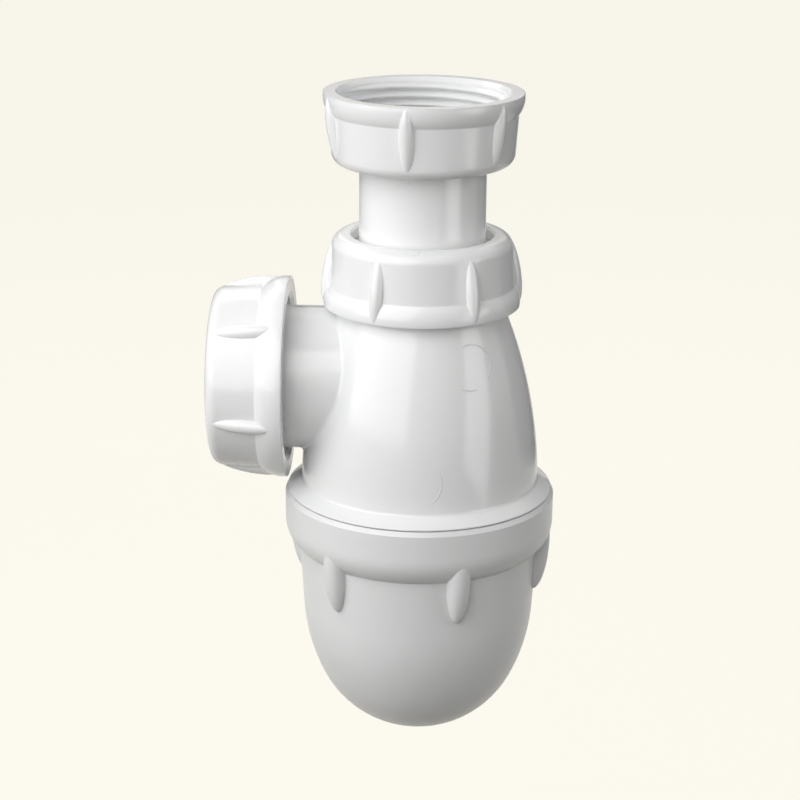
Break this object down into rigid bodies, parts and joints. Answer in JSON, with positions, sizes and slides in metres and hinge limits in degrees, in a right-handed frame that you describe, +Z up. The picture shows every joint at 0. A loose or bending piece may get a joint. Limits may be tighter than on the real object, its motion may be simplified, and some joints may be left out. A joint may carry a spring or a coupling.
{
  "type": "basin bottle trap",
  "caption": "White plastic bottle trap for a basin waste: ribbed coupling nut on a tubular inlet, ribbed compression nuts on the neck and side outlet, and an unscrewing round cup with lugs.",
  "frame": {"origin": "on the inlet's axis, at the top face of the inlet washer, where the basin waste seats", "axes": "+Z up along the inlet's axis, out of the inlet; the side outlet leaves along -X"},
  "size_m": [0.0885, 0.07, 0.1707],
  "materials": {
    "white_plastic": "gloss, moulded polypropylene",
    "black_rubber": "matt",
    "natural_plastic": "satin polyethylene",
    "pale_rubber": "matt, filled white"
  },
  "bodies": {
    "trap": {"trap_body": "white_plastic", "outlet_seal": "black_rubber"},
    "neck ring": {"neck_slip_ring": "natural_plastic"},
    "neck nut": {"neck_nut": "white_plastic"},
    "tube swivel": {"neck_seal": "black_rubber"},
    "inlet": {"inlet_tube": "white_plastic", "inlet_washer": "pale_rubber"},
    "inlet nut": {"inlet_nut": "white_plastic"},
    "outlet ring": {"outlet_slip_ring": "natural_plastic"},
    "outlet nut": {"outlet_nut": "white_plastic"},
    "cup ring": {"cup_seal": "black_rubber"},
    "cup": {"cup": "white_plastic"}
  },
  "joints": [
    {"name": "neck_ring_lift", "type": "slide", "parent": "trap", "child": "neck ring", "axis": [0, 0, 1], "range_m": [0, 0.0093]},
    {"name": "neck_nut_turn", "type": "hinge", "parent": "neck ring", "child": "neck nut", "pos_m": [0, 0, -0.0268], "axis": [0, 0, 1], "range_deg": [0, 1440]},
    {"name": "tube_turn", "type": "hinge", "parent": "trap", "child": "tube swivel", "pos_m": [0, 0, -0.0331], "axis": [0, 0, 1], "continuous": true},
    {"name": "tube_slide", "type": "slide", "parent": "tube swivel", "child": "inlet", "axis": [0, 0, 1], "range_m": [-0.016, 0.03]},
    {"name": "inlet_nut_turn", "type": "hinge", "parent": "inlet", "child": "inlet nut", "pos_m": [0, 0, -0.0058], "axis": [0, 0, 1], "continuous": true},
    {"name": "outlet_ring_shift", "type": "slide", "parent": "trap", "child": "outlet ring", "axis": [-1, 0, 0], "range_m": [0, 0.0093]},
    {"name": "outlet_nut_turn", "type": "hinge", "parent": "outlet ring", "child": "outlet nut", "pos_m": [-0.0534, 0, -0.0653], "axis": [-1, 0, 0], "range_deg": [0, 1440]},
    {"name": "cup_drop", "type": "slide", "parent": "trap", "child": "cup ring", "axis": [0, 0, -1], "range_m": [0, 0.0102]},
    {"name": "cup_turn", "type": "hinge", "parent": "cup ring", "child": "cup", "pos_m": [0, 0, -0.0944], "axis": [0, 0, -1], "range_deg": [0, 900]}
  ],
  "couplings": [
    {"joint": "neck_ring_lift", "follows": "neck_nut_turn", "m_per_rad": 0.00036749},
    {"joint": "outlet_ring_shift", "follows": "outlet_nut_turn", "m_per_rad": 0.00036749},
    {"joint": "cup_drop", "follows": "cup_turn", "m_per_rad": 0.00063662}
  ]
}
